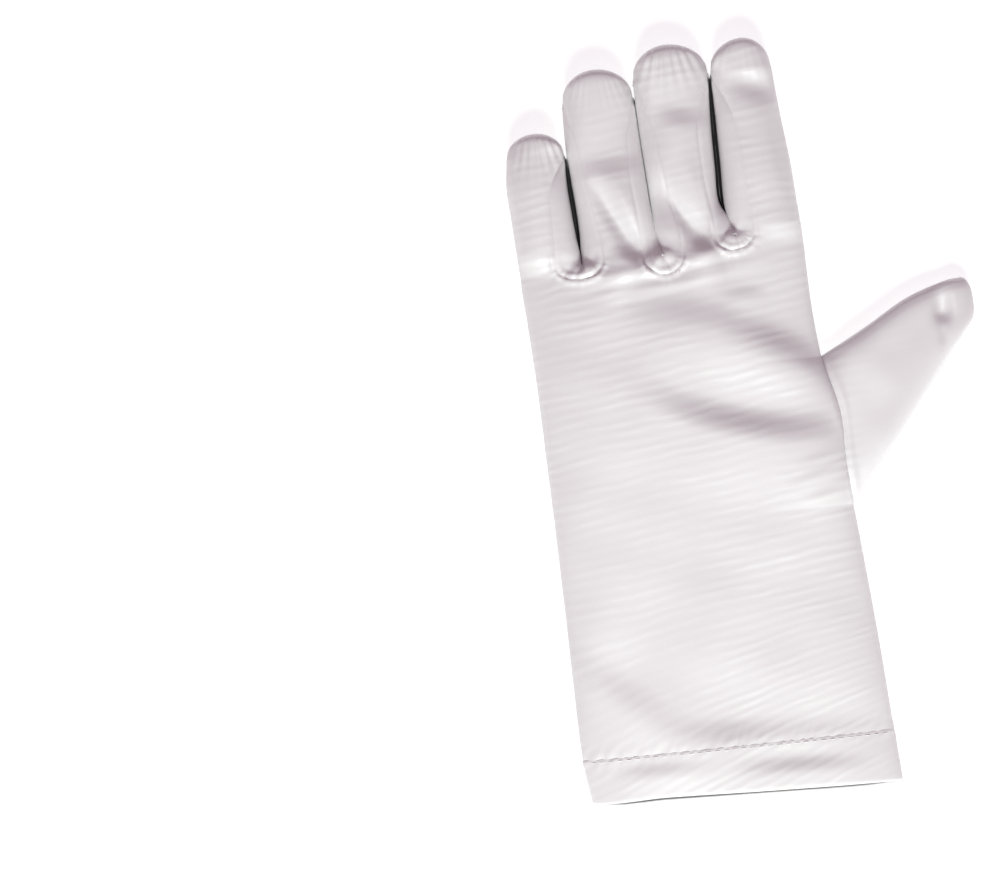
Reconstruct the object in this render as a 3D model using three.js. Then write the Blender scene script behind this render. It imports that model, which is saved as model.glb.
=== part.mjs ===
// A lady's satin dress glove for the left hand, empty, lying palm down.
// Millimetres. +Y runs from the cuff to the fingertips, +X to the thumb's side, +Z out of the back.
// The tables are in hand measure: y is counted from the middle of the cuff's edge.
import * as THREE from 'three';

// Driving dimensions
const WALL = 1.0; // the satin and its backing
const HEM_WALL = 2.0; // the hem is turned up, so it is double
const GAP = 0.3; // left between two pieces where they are sewn together
const STRIP_GAP = 0.55; // the same beside the fingers' side strips, whose seams curve more
const EDGE_Z = 5.0; // height of the outline's edge above the surface
const BACK_EDGE_Z = EDGE_Z + GAP / 2;
const PALM_EDGE_Z = EDGE_Z - GAP / 2;
const SEAM_Z = 8.8; // height of the finger seams on the back
const FINGER_CROWN_Z = 10.8;
const SEAM_END_RISE = 2.2; // a finger seam ends this far above and below the edge
const HEM_Y = 14.5; // height of the hem's stitch line
const ORIGIN = { x: -4.5, y: 90 }; // middle of the palm's flat underside

// The hand, a row for each section across it
const HAND = [
  { y: -2, left: -47.6, right: 46.9, crown: 10.0 },
  { y: 14.5, left: -49.8, right: 45.8, crown: 10.8 },
  { y: 40, left: -50.3, right: 44.2, crown: 12.2 },
  { y: 62, left: -50.5, right: 42.5, crown: 12.6 },
  { y: 84, left: -50.8, right: 40.6, crown: 13.2 },
  { y: 107, left: -51.3, right: 38.2, crown: 14.0 },
  { y: 129.4, left: -51.8, right: 35.5, crown: 14.2 },
  { y: 146, left: -52.6, right: 34.2, crown: 13.4 },
  { y: 165, left: -53.5, right: 33.8, crown: 11.6 },
  { y: 190, left: -54.8, right: 32.3, crown: 10.8 },
];

// The fingers, little to index. A row is a section: the outline's two sides and the two seams on the back.
const FINGERS = [
  {
    tip: { x: -44.7, y: 206.2 },
    rows: [
      { y: 162, left: -53.4, right: -34.6, seamRight: -42.4 },
      { y: 180, left: -54.3, right: -35.6, seamRight: -42.3 },
      { y: 190, left: -54.8, right: -36.2, seamRight: -41.0 },
      { y: 197.5, left: -54.0, right: -36.3, seamRight: -36.3 },
    ],
  },
  {
    tip: { x: -24.6, y: 223.8 },
    rows: [
      { y: 162, left: -33.2, right: -10.5, seamLeft: -28.0, seamRight: -15.3 },
      { y: 180, left: -34.1, right: -11.9, seamLeft: -29.5, seamRight: -16.2 },
      { y: 190, left: -34.8, right: -12.4, seamLeft: -31.0, seamRight: -17.0 },
      { y: 203, left: -35.5, right: -13.0, seamLeft: -32.8, seamRight: -16.3 },
      { y: 213, left: -35.1, right: -13.5, seamLeft: -35.1, seamRight: -13.5 },
    ],
  },
  {
    tip: { x: -2.0, y: 229.1 },
    rows: [
      { y: 162, left: -9.8, right: 12.3, seamLeft: -3.5, seamRight: 7.0 },
      { y: 171, left: -10.5, right: 12.0, seamLeft: -4.4, seamRight: 7.0 },
      { y: 180, left: -11.1, right: 9.2, seamLeft: -6.0, seamRight: 6.0 },
      { y: 190, left: -11.7, right: 9.2, seamLeft: -7.0, seamRight: 5.2 },
      { y: 205, left: -12.3, right: 9.4, seamLeft: -9.3, seamRight: 5.4 },
      { y: 218, left: -12.8, right: 10.0, seamLeft: -12.8, seamRight: 10.0 },
    ],
  },
  {
    tip: { x: 21.0, y: 228.8 },
    rows: [
      { y: 162, left: 13.0, right: 33.9, seamLeft: 18.2 },
      { y: 171, left: 12.6, right: 33.5, seamLeft: 18.3 },
      { y: 180, left: 10.9, right: 32.9, seamLeft: 18.0 },
      { y: 190, left: 10.9, right: 32.3, seamLeft: 17.5 },
      { y: 205, left: 10.9, right: 30.7, seamLeft: 16.2 },
      { y: 217.5, left: 11.1, right: 29.7, seamLeft: 11.1 },
    ],
  },
];

// The notches between the fingers: the seam's lowest point, its half width and depth, and the slit's end
const NOTCHES = [
  { x: -35.2, y: 160.5, half: 7.2, depth: 5.0, slitY: 165.0 },
  { x: -9.4, y: 159.5, half: 5.9, depth: 5.5, slitY: 165.5 },
  { x: 12.6, y: 164.5, half: 5.7, depth: 4.5, slitY: 170.0 },
];
const ROOT_Y = [162, 164]; // where the outer sides of the little and the index finger begin

// The thumb, a row for each section from its seam to its blunt tip
const THUMB = [
  { s: 0.0, upperX: 35.5, upperY: 129.4, lowerX: 40.6, lowerY: 84.0, crown: 8.6, edge: 5.0 },
  { s: 0.3, upperX: 50.0, upperY: 137.2, lowerX: 52.8, lowerY: 98.4, crown: 9.6, edge: 4.8 },
  { s: 0.6, upperX: 63.0, upperY: 144.6, lowerX: 65.0, lowerY: 113.7, crown: 8.8, edge: 4.4 },
  { s: 0.85, upperX: 75.0, upperY: 148.6, lowerX: 75.6, lowerY: 127.2, crown: 8.0, edge: 3.9 },
  { s: 1.0, upperX: 80.2, upperY: 149.2, lowerX: 80.8, lowerY: 134.6, crown: 7.4, edge: 3.6 },
];
const THUMB_LOW_Y = THUMB[0].lowerY;
const THUMB_HIGH_Y = THUMB[0].upperY;
const THUMB_SEAM_Z = THUMB[0].crown;
const THUMB_SCALLOP = 5; // the palm is cut in by this much under the thumb
const THUMB_TIP_BULGE = 3.0;
const THUMB_CAP = 0.85; // the tip rounds off from here on

// Folds of the back: a line along each, its half width and how far it rises, or sinks if negative
const FOLDS = [
  { fromX: -32, fromY: 158, toX: 10, toY: 160, width: 3.5, rise: 0.9 },
  { fromX: -34, fromY: 152, toX: 34, toY: 137, width: 6, rise: -1.1 },
  { fromX: -34, fromY: 141, toX: 36, toY: 125, width: 7, rise: 0.9 },
  { fromX: -22, fromY: 125, toX: 38, toY: 114, width: 6, rise: -1.3 },
  { fromX: -22, fromY: 113, toX: 38, toY: 102, width: 7, rise: 1.0 },
  { fromX: -50, fromY: 48, toX: -22, toY: 32, width: 6, rise: -0.8 },
  { fromX: -22, fromY: 28, toX: 40, toY: 23, width: 5, rise: -0.7 },
  { fromX: -24, fromY: 190, toX: -14, toY: 166, width: 3, rise: 0.7 },
  { fromX: -5, fromY: 192, toX: 6, toY: 171, width: 3, rise: 0.7 },
];

// How full each section is: higher powers are flatter on top and rounder at the sides
const HAND_FULLNESS = 3.2;
const FINGER_FULLNESS = 2.4;
const HAND_FLAT = 0.82; // share of the half width that lies flat on the surface
const FINGER_FLAT = 0.5;
const THUMB_FLAT = 0.6;
const FINGERS_START_Y = 145; // the hand's section turns into the fingers' between these two
const FINGERS_FULL_Y = 172;

// How finely the pieces are divided
const COLUMNS = 6; // across each finger
const LOW_ROWS = 7; // hem to thumb
const THUMB_ROWS = 8; // along the thumb's seam
const HIGH_ROWS = 5; // thumb to finger roots
const NOTCH_ROWS = 3;
const FINGER_ROWS = 5;
const TIP_ROWS = 3;
const HAND_ROWS = LOW_ROWS + THUMB_ROWS + HIGH_ROWS;
const TIP_START = 0.35; // angle at which the round of a fingertip starts
const THUMB_RINGS = [0, 0.12, 0.26, 0.4, 0.55, 0.7, 0.82, 0.91, 0.97, 1];
const STRIP_SHARES = [0, 0.45, 0.8, 1]; // across a side strip, from its seam to its crease
const STRIP_START = 0.5; // where on the finger's round section a side strip begins
const HEM_ROWS = 2;

const BACK = 'back';
const PALM = 'palm';

function lerp(a, b, t) {
  return a + (b - a) * t;
}

function clamp01(t) {
  return Math.min(1, Math.max(0, t));
}

function smooth(t) {
  const c = clamp01(t);
  return c * c * (3 - 2 * c);
}

// Height of a round section at v, which runs from -1 to 1 across it
function arch(v, power) {
  return Math.sqrt(Math.max(0, 1 - Math.abs(v) ** power));
}

// 0 on the flat middle of an underside, rising to 1 at its edge as a quarter circle does
function roll(v, flat) {
  const e = clamp01((Math.abs(v) - flat) / (1 - flat));
  return 1 - Math.sqrt(1 - e * e);
}

// A column of a table at any place along it, on a smooth curve through the rows
function column(rows, name, at, key = 'y') {
  const last = rows.length - 1;
  const p = Math.min(rows[last][key], Math.max(rows[0][key], at));
  let i = 0;
  while (i < last - 1 && rows[i + 1][key] < p) {
    i += 1;
  }
  const slope = (n) => {
    const a = rows[Math.max(0, n - 1)];
    const b = rows[Math.min(last, n + 1)];
    return (b[name] - a[name]) / (b[key] - a[key]);
  };
  const span = rows[i + 1][key] - rows[i][key];
  const t = (p - rows[i][key]) / span;
  const bend = (2 * t - 3) * t * t;
  const start = (1 + bend) * rows[i][name];
  const end = -bend * rows[i + 1][name];
  const leave = (t * (t - 1) * (t - 1)) * span * slope(i);
  const arrive = (t * t * (t - 1)) * span * slope(i + 1);
  return start + end + leave + arrive;
}

// Sum of the folds at a point of the back, each a ridge or valley that fades at its ends
function folds(x, y) {
  let z = 0;
  for (const f of FOLDS) {
    const dx = f.toX - f.fromX;
    const dy = f.toY - f.fromY;
    const length = Math.hypot(dx, dy);
    const along = ((x - f.fromX) * dx + (y - f.fromY) * dy) / length;
    const across = ((x - f.fromX) * dy - (y - f.fromY) * dx) / length;
    const beyond = Math.max(0, -along, along - length);
    z += f.rise * Math.exp(-((across / f.width) ** 2) - (beyond / (2 * f.width)) ** 2);
  }
  return z;
}

// Place along the thumb's opening in the hand, -1 at its lower end and 1 at its upper one
function thumbPlace(y) {
  const t = (y - THUMB_LOW_Y) / (THUMB_HIGH_Y - THUMB_LOW_Y);
  return Math.min(1, Math.max(-1, 2 * t - 1));
}

// The hand's right side: it is the outline's edge, or along the thumb the seam that holds the thumb.
// lean is 1 where the wall stands upright and 0 where it lies flat.
function rightSide(face, y) {
  const v = thumbPlace(y);
  const x = column(HAND, 'right', y);
  if (face === BACK) {
    const open = arch(v, FINGER_FULLNESS);
    return { x, z: lerp(BACK_EDGE_Z, THUMB_SEAM_Z, open), lean: 1 - open };
  }
  const closed = roll(v, THUMB_FLAT);
  return { x: x - THUMB_SCALLOP * (1 - closed), z: PALM_EDGE_Z * closed, lean: closed };
}

function leftSide(face, y) {
  return { x: column(HAND, 'left', y), z: face === BACK ? BACK_EDGE_Z : PALM_EDGE_Z, lean: 1 };
}

// Moves a side's point inwards by the wall: across where the wall is upright, else up or down
function insetSide(face, side, inwards, inset) {
  const down = face === BACK ? -1 : 1;
  const turn = (side.lean * Math.PI) / 2;
  return { x: side.x + inwards * inset * Math.sin(turn), z: side.z + down * inset * Math.cos(turn) };
}

// Height of the hand's section at a point, without its fingers and folds
function handHeight(face, x, y, inset) {
  const left = insetSide(face, leftSide(face, y), 1, inset);
  const right = insetSide(face, rightSide(face, y), -1, inset);
  const s = Math.min(1, Math.max(-1, (2 * (x - left.x)) / (right.x - left.x) - 1));
  const side = s < 0 ? left.z : right.z;
  if (face === PALM) {
    return lerp(inset, side, roll(s, HAND_FLAT));
  }
  return lerp(side, column(HAND, 'crown', y) - inset, arch(s, HAND_FULLNESS));
}

// Height of one finger's strip at share u across it, between its two sides
function stripHeight(face, zLeft, zRight, u, inset) {
  const side = lerp(zLeft, zRight, u);
  if (face === PALM) {
    return lerp(inset, side, roll(2 * u - 1, FINGER_FLAT));
  }
  return lerp(side, FINGER_CROWN_Z - inset, arch(2 * u - 1, FINGER_FULLNESS));
}

// Height of a finger seam at share t of its length, sloping to the edge near the fingertip
function seam(face, t) {
  const full = Math.sqrt(1 - t ** 4);
  if (face === BACK) {
    return lerp(EDGE_Z + SEAM_END_RISE, SEAM_Z, full);
  }
  return lerp(EDGE_Z - SEAM_END_RISE, 0, full);
}

// One side of a finger's strip. stage is notch, finger or tip, and t the share of that stage.
// The result is its place in plan, its height, and which way is inwards.
function fingerSide(face, k, right, stage, t, inset) {
  const finger = FINGERS[k];
  const outer = right ? k === FINGERS.length - 1 : k === 0;
  const inwards = right ? -1 : 1;
  const endY = finger.rows[finger.rows.length - 1].y;
  if (outer) {
    const rootY = ROOT_Y[right ? 1 : 0];
    const startY = rootY + NOTCHES[0].depth;
    const y = stage === 'notch' ? lerp(rootY, startY, t) : lerp(startY, endY, t);
    const x = column(finger.rows, right ? 'right' : 'left', y);
    const edge = face === BACK ? BACK_EDGE_Z : PALM_EDGE_Z;
    return { x: x + inwards * inset, y, z: edge };
  }
  const notch = NOTCHES[right ? k : k - 1];
  const topY = notch.y + notch.depth;
  const down = face === BACK ? -1 : 1;
  if (stage === 'notch') {
    const angle = (t * Math.PI) / 2;
    const x = notch.x + inwards * notch.half * Math.sin(angle);
    const y = notch.y + notch.depth * (1 - Math.cos(angle));
    return { x, y, z: seam(face, 0) + down * inset };
  }
  const y = lerp(topY, endY, t);
  const joined = notch.x + inwards * notch.half;
  const drawn = column(finger.rows, right ? 'seamRight' : 'seamLeft', y);
  const x = lerp(joined, drawn, smooth(3 * t));
  const turn = (smooth(2 * t - 1) * Math.PI) / 2;
  const z = seam(face, t) + down * inset * Math.cos(turn);
  return { x: x + inwards * inset * Math.sin(turn), y, z };
}

// A point of a finger's strip at share u across it
function stripPoint(face, k, stage, t, u, inset) {
  const left = fingerSide(face, k, false, stage, t, inset);
  const right = fingerSide(face, k, true, stage, t, inset);
  const x = lerp(left.x, right.x, u);
  const y = lerp(left.y, right.y, u);
  return surfacePoint(face, x, y, left.z, right.z, u, inset);
}

// A point of the hand, whose columns run up into the fingers
function handPoint(face, k, row, u, inset) {
  const left = columnLine(face, k, row, inset);
  const right = columnLine(face, k + 1, row, inset);
  const x = lerp(left.x, right.x, u);
  const y = lerp(left.y, right.y, u);
  const inner = seam(face, 0) + (face === BACK ? -inset : inset);
  const zLeft = k === 0 ? left.z : inner;
  const zRight = k === FINGERS.length - 1 ? right.z : inner;
  return surfacePoint(face, x, y, zLeft, zRight, u, inset);
}

function surfacePoint(face, x, y, zLeft, zRight, u, inset) {
  const fingers = smooth((y - FINGERS_START_Y) / (FINGERS_FULL_Y - FINGERS_START_Y));
  const strip = stripHeight(face, zLeft, zRight, u, inset);
  const z = lerp(handHeight(face, x, y, inset), strip, fingers);
  return new THREE.Vector3(x, y, face === BACK ? z + foldsInside(x, y) : z);
}

// Folds die away at the hand's sides, where the cloth is drawn round its edge
function foldsInside(x, y) {
  const left = column(HAND, 'left', y);
  const right = column(HAND, 'right', y);
  const s = (2 * (x - left)) / (right - left) - 1;
  return folds(x, y) * clamp01(1 - s ** 6);
}

// Height up the hand of a row, on the way to the finger roots at rootY
function rowY(row, rootY) {
  if (row <= LOW_ROWS) {
    return lerp(HEM_Y + GAP, THUMB_LOW_Y, row / LOW_ROWS);
  }
  if (row <= LOW_ROWS + THUMB_ROWS) {
    const turn = (Math.PI * (row - LOW_ROWS)) / THUMB_ROWS;
    return lerp(THUMB_LOW_Y, THUMB_HIGH_Y, (1 - Math.cos(turn)) / 2);
  }
  return lerp(THUMB_HIGH_Y, rootY, (row - LOW_ROWS - THUMB_ROWS) / HIGH_ROWS);
}

// One of the five lines that run up the hand: its two sides, and the three that end at the notches
function columnLine(face, line, row, inset) {
  if (line === 0 || line === FINGERS.length) {
    const right = line > 0;
    const y = rowY(row, ROOT_Y[right ? 1 : 0]);
    const side = right ? rightSide(face, y) : leftSide(face, y);
    const moved = insetSide(face, side, right ? -1 : 1, inset);
    const root = column(FINGERS[right ? 3 : 0].rows, right ? 'right' : 'left', y);
    const near = smooth((row - HAND_ROWS + 2) / 2);
    return { x: lerp(moved.x, root + (right ? -inset : inset), near), y, z: moved.z };
  }
  const notch = NOTCHES[line - 1];
  const y = rowY(row, notch.y);
  const even = lerp(leftSide(face, y).x, rightSide(face, y).x, line / FINGERS.length);
  return { x: lerp(even, notch.x, smooth(y / notch.y)), y };
}

// A point of a fingertip at share t from the finger to the tip's edge, and share i of its columns
function tipPoint(face, k, t, u, share, inset) {
  const from = stripPoint(face, k, 'finger', 1, u, inset);
  const left = stripPoint(face, k, 'finger', 1, 0, inset);
  const right = stripPoint(face, k, 'finger', 1, 1, inset);
  const tip = FINGERS[k].tip;
  const angle = lerp(TIP_START, Math.PI - TIP_START, share);
  const side = share < 0.5 ? left : right;
  const x = tip.x + Math.abs(Math.cos(angle)) * (side.x - tip.x);
  const y = side.y + (tip.y - inset - side.y) * Math.sin(angle);
  const turn = (t * Math.PI) / 2;
  const edge = face === BACK ? BACK_EDGE_Z : PALM_EDGE_Z;
  const z = edge + (from.z - edge) * Math.cos(turn);
  return new THREE.Vector3(lerp(from.x, x, Math.sin(turn)), lerp(from.y, y, Math.sin(turn)), z);
}

// Columns stand closer together towards the two outer edges, where the section is round
function shareAcross(k, i) {
  const even = i / COLUMNS;
  if (k === 0) {
    return 1 - Math.cos((even * Math.PI) / 2);
  }
  if (k === FINGERS.length - 1) {
    return Math.sin((even * Math.PI) / 2);
  }
  return even;
}

// The shell of a piece: an outer skin and an inner one, point for point, and the rim between them
class Shell {
  constructor() {
    this.outer = [];
    this.inner = [];
    this.faces = [];
    this.known = new Map();
  }

  point(outer, inner) {
    const key = [outer.x, outer.y, outer.z].map((n) => n.toFixed(4)).join();
    if (!this.known.has(key)) {
      this.known.set(key, this.outer.length);
      this.outer.push(outer);
      this.inner.push(inner);
    }
    return this.known.get(key);
  }

  // Joins a grid of points, given as rows of indices, into pairs of triangles
  grid(rows) {
    for (let j = 1; j < rows.length; j += 1) {
      for (let i = 1; i < rows[j].length; i += 1) {
        const corners = [rows[j - 1][i - 1], rows[j - 1][i], rows[j][i], rows[j][i - 1]];
        this.triangle(corners[0], corners[1], corners[2]);
        this.triangle(corners[0], corners[2], corners[3]);
      }
    }
  }

  triangle(a, b, c) {
    if (a !== b && b !== c && c !== a) {
      this.faces.push([a, b, c]);
    }
  }

  // Edges that only one face uses, in that face's direction
  border() {
    const edges = new Map();
    for (const face of this.faces) {
      face.forEach((a, n) => {
        const b = face[(n + 1) % 3];
        if (!edges.delete(`${b},${a}`)) {
          edges.set(`${a},${b}`, [a, b]);
        }
      });
    }
    return [...edges.values()];
  }

  geometry() {
    const n = this.outer.length;
    const index = [];
    for (const [a, b, c] of this.faces) {
      index.push(a, b, c, n + a, n + c, n + b);
    }
    for (const [a, b] of this.border()) {
      index.push(b, a, n + a, b, n + a, n + b);
    }
    const points = this.outer.concat(this.inner);
    if (volume(points, index) < 0) {
      index.reverse();
    }
    const geometry = new THREE.BufferGeometry().setFromPoints(points);
    geometry.setIndex(index);
    geometry.computeVertexNormals();
    return geometry;
  }
}

function volume(points, index) {
  let sum = 0;
  for (let i = 0; i < index.length; i += 3) {
    const cross = points[index[i + 1]].clone().cross(points[index[i + 2]]);
    sum += points[index[i]].dot(cross) / 6;
  }
  return sum;
}

// The back or the palm: the hand and four finger strips with their tips, all in one cloth
function panel(face) {
  const shell = new Shell();
  for (let k = 0; k < FINGERS.length; k += 1) {
    const rows = [];
    const addRow = (at) => {
      const row = [];
      for (let i = 0; i <= COLUMNS; i += 1) {
        const u = shareAcross(k, i);
        row.push(shell.point(at(u, i / COLUMNS, 0), at(u, i / COLUMNS, WALL)));
      }
      rows.push(row);
    };
    for (let j = 0; j < HAND_ROWS; j += 1) {
      addRow((u, share, inset) => handPoint(face, k, j, u, inset));
    }
    for (let j = 0; j <= NOTCH_ROWS; j += 1) {
      addRow((u, share, inset) => stripPoint(face, k, 'notch', j / NOTCH_ROWS, u, inset));
    }
    for (let j = 1; j <= FINGER_ROWS; j += 1) {
      addRow((u, share, inset) => stripPoint(face, k, 'finger', j / FINGER_ROWS, u, inset));
    }
    for (let j = 1; j <= TIP_ROWS; j += 1) {
      addRow((u, share, inset) => tipPoint(face, k, j / TIP_ROWS, u, share, inset));
    }
    shell.grid(rows);
  }
  return shell.geometry();
}

// Seam point of a side strip's station on the back or palm. Stations count from the notch's middle.
function stripSeam(face, k, right, station, inset) {
  const u = right ? 1 : 0;
  if (station <= NOTCH_ROWS) {
    return stripPoint(face, k, 'notch', station / NOTCH_ROWS, u, inset);
  }
  if (station <= NOTCH_ROWS + FINGER_ROWS) {
    return stripPoint(face, k, 'finger', (station - NOTCH_ROWS) / FINGER_ROWS, u, inset);
  }
  const t = (station - NOTCH_ROWS - FINGER_ROWS) / TIP_ROWS;
  return tipPoint(face, k, t, u, u, inset);
}

// The crease at a side strip's middle, which is the finger's outline beside the slit
function stripCrease(k, right, station, inset) {
  const notch = NOTCHES[right ? k : k - 1];
  const seamPoint = stripSeam(BACK, k, right, station, 0);
  const full = NOTCH_ROWS + FINGER_ROWS;
  const inwards = right ? -1 : 1;
  if (station > full) {
    const at = new THREE.Vector3(seamPoint.x, seamPoint.y, EDGE_Z);
    at.x += inwards * inset;
    return at;
  }
  const ahead = (notch.slitY - notch.y) * (1 - station / full) ** 2;
  const y = seamPoint.y + ahead;
  const rows = FINGERS[k].rows;
  const side = column(rows, right ? 'right' : 'left', y);
  const neighbour = FINGERS[right ? k + 1 : k - 1].rows;
  const middle = (side + column(neighbour, right ? 'left' : 'right', y)) / 2;
  const turn = (Math.min(1, station / NOTCH_ROWS) * Math.PI) / 2;
  const x = lerp(middle, side, Math.sin(turn));
  return new THREE.Vector3(x + inwards * inset * Math.sin(turn), y - inset * Math.cos(turn), EDGE_Z);
}

// The side strip of two neighbouring fingers: up one finger, round the notch and up the other
function sideStrip(notchIndex) {
  const shell = new Shell();
  const last = NOTCH_ROWS + FINGER_ROWS + TIP_ROWS - 1;
  const stations = [];
  for (let n = last; n >= 0; n -= 1) {
    stations.push({ k: notchIndex, right: true, n });
  }
  for (let n = 1; n <= last; n += 1) {
    stations.push({ k: notchIndex + 1, right: false, n });
  }
  const rows = stations.map(({ k, right, n }) => {
    const skin = (inset) => {
      const crease = stripCrease(k, right, n, inset);
      const halves = [BACK, PALM].map((face) => {
        const start = stripSeam(face, k, right, n, inset);
        start.add(crease.clone().sub(start).setLength(STRIP_GAP));
        return STRIP_SHARES.map((q) => stripAcross(start, crease, q));
      });
      return halves[0].concat(halves[1].reverse().slice(1));
    };
    const outer = skin(0);
    const inner = skin(WALL);
    return outer.map((point, i) => shell.point(point, inner[i]));
  });
  shell.grid(rows);
  return shell.geometry();
}

// A point at share q from a strip's seam to its crease, on the rest of the finger's round section
function stripAcross(start, crease, q) {
  const v = lerp(STRIP_START, 1, q);
  const height = arch(v, FINGER_FULLNESS) / arch(STRIP_START, FINGER_FULLNESS);
  const point = start.clone().lerp(crease, q);
  point.z = lerp(crease.z, start.z, height);
  return point;
}

// A point of the thumb at share s of its length and v across it, on its upper or lower wall
function thumbPoint(face, s, v, inset) {
  const at = (name) => column(THUMB, name, s, 's');
  const leave = smooth(s / THUMB_RINGS[1]);
  const upper = { x: at('upperX') + 0.4 * leave * inset, y: at('upperY') - 0.92 * inset };
  const lower = { x: at('lowerX') - 0.78 * leave * inset, y: at('lowerY') + 0.8 * inset };
  const share = (v + 1) / 2;
  let x = lerp(lower.x, upper.x, share);
  const y = lerp(lower.y, upper.y, share) - 0.5 * inset * s ** 6;
  const base = rightSide(face, lerp(THUMB_LOW_Y, THUMB_HIGH_Y, share)).x + GAP;
  const straight = lerp(THUMB[0].lowerX, THUMB[0].upperX, share);
  x += (base - straight) * (1 - s) ** 3;
  x += (THUMB_TIP_BULGE * arch(v, FINGER_FULLNESS) - inset) * s ** 6;
  const cap = Math.sqrt(1 - clamp01((s - THUMB_CAP) / (1 - THUMB_CAP)) ** 2);
  const edge = at('edge');
  const top = lerp(edge, at('crown') - inset, arch(v, FINGER_FULLNESS));
  const bottom = lerp(inset, edge, roll(v, THUMB_FLAT));
  return new THREE.Vector3(x, y, edge + ((face === BACK ? top : bottom) - edge) * cap);
}

// The thumb, sewn into the hand's side: rings from its seam to the tip, where both walls meet
function thumb() {
  const shell = new Shell();
  const places = [];
  for (let i = 0; i <= THUMB_ROWS; i += 1) {
    places.push(-Math.cos((Math.PI * i) / THUMB_ROWS));
  }
  const around = places.map((v) => [BACK, v]);
  for (const v of places.slice(0, -1).reverse()) {
    around.push([PALM, v]);
  }
  const rows = THUMB_RINGS.map((s) => around.map(([face, v]) => {
    return shell.point(thumbPoint(face, s, v, 0), thumbPoint(face, s, v, WALL));
  }));
  shell.grid(rows);
  return shell.geometry();
}

// Where the cuff ends at x: its edge slants a little, and the palm's side is slightly longer
function cuffEdge(face, x) {
  const slant = -0.035 * x - 0.3;
  return face === BACK ? slant : slant - 0.8 * arch(x / HAND[0].right, 2);
}

// The hem, a double band round the cuff with an open end
function cuffHem() {
  const shell = new Shell();
  const half = (COLUMNS * FINGERS.length) / 2;
  const at = (face, i, j, inset) => {
    const s = Math.sin((i / half) * (Math.PI / 2));
    const outline = (name, y) => column(HAND, name, y);
    const widest = lerp(outline('left', 0), outline('right', 0), (s + 1) / 2);
    const y = lerp(cuffEdge(face, widest), HEM_Y, j / HEM_ROWS);
    const x = lerp(outline('left', y) + inset, outline('right', y) - inset, (s + 1) / 2);
    const top = lerp(EDGE_Z, outline('crown', y) - inset, arch(s, HAND_FULLNESS));
    const bottom = lerp(inset, EDGE_Z, roll(s, HAND_FLAT));
    return new THREE.Vector3(x, y, face === BACK ? top : bottom);
  };
  const rows = [];
  for (let j = 0; j <= HEM_ROWS; j += 1) {
    const row = [];
    for (let i = -half; i <= half; i += 1) {
      row.push(shell.point(at(BACK, i, j, 0), at(BACK, i, j, HEM_WALL)));
    }
    for (let i = half - 1; i >= -half; i -= 1) {
      row.push(shell.point(at(PALM, i, j, 0), at(PALM, i, j, HEM_WALL)));
    }
    rows.push(row);
  }
  shell.grid(rows);
  return shell.geometry();
}

// White satin with a cool, faintly mauve shade
function satin(color) {
  return new THREE.MeshStandardMaterial({ color, roughness: 0.42, metalness: 0 });
}

const glove = new THREE.Group();
glove.position.set(-ORIGIN.x, -ORIGIN.y, 0);

const PIECES = {
  back_panel: [panel(BACK), 0xeae7e8],
  palm_panel: [panel(PALM), 0xe6e3e4],
  fourchette_little_ring: [sideStrip(0), 0xe2dedf],
  fourchette_ring_middle: [sideStrip(1), 0xe2dedf],
  fourchette_middle_index: [sideStrip(2), 0xe2dedf],
  thumb: [thumb(), 0xe9e6e6],
  cuff_hem: [cuffHem(), 0xedebeb],
};
for (const [name, [geometry, color]] of Object.entries(PIECES)) {
  const mesh = new THREE.Mesh(geometry, satin(color));
  mesh.name = name;
  glove.add(mesh);
}

export default glove;
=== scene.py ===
"""A lady's short white satin dress glove, lying empty and palm down on a pale table.

Tables are in millimetres in hand measure, as a glove maker would draw it: y runs from the middle of
the cuff's edge to the fingertips, x towards the thumb. cloth_piece() turns them into metres.
"""
import math

import bmesh
import bpy
import numpy as np
from mathutils import Matrix


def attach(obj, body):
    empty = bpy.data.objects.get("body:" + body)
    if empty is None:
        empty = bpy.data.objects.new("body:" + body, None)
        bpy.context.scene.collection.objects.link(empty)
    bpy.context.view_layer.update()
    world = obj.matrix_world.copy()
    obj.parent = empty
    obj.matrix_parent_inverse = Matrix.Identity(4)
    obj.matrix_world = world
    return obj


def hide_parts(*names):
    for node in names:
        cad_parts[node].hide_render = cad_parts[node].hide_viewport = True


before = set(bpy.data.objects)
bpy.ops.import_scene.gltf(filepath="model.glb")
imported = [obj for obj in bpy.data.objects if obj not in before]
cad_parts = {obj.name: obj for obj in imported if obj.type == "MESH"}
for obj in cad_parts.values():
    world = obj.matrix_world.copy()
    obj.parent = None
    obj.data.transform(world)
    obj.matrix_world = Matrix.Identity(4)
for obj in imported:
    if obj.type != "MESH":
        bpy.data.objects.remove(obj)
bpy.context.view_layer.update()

# The same driving sizes as the solids have
EDGE_Z = 5.0  # height of the outline's edge above the table
FINGER_CROWN = 10.4  # top of a finger near its tip
ROOT_RISE = 1.4  # how much higher a finger stands at its root
HEM_Y = 14.5  # the hem's stitch line
ORIGIN = (-4.5, 90.0)  # hand measure of the part's origin
CLOTH = 0.8  # thickness of satin and backing
ALLOWANCE = 0.7  # how far a strip's edge is turned under the cloth beside it
HEM_CLOTH = 1.7  # thickness of the doubled hem
HALF_CUFF = 46.0  # half the cuff's width
CUFF_STEP = 2.3  # how much longer the palm's side of the cuff is
MERGE = 0.004  # points nearer than this become one
SHARP = 1.0  # radians between two faces from which their edge stays crisp

# Roundness of the sections: higher is flatter on top and rounder at the sides
HAND_FULLNESS = 3.5
FINGER_FULLNESS = 2.5
TIP_FULLNESS = 7.0
NOTCH_FULLNESS = 16.0  # the puffed cloth between a notch's seam and the slit
STRIP_FULLNESS = 5.0
THUMB_FULLNESS = 5.2

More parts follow.
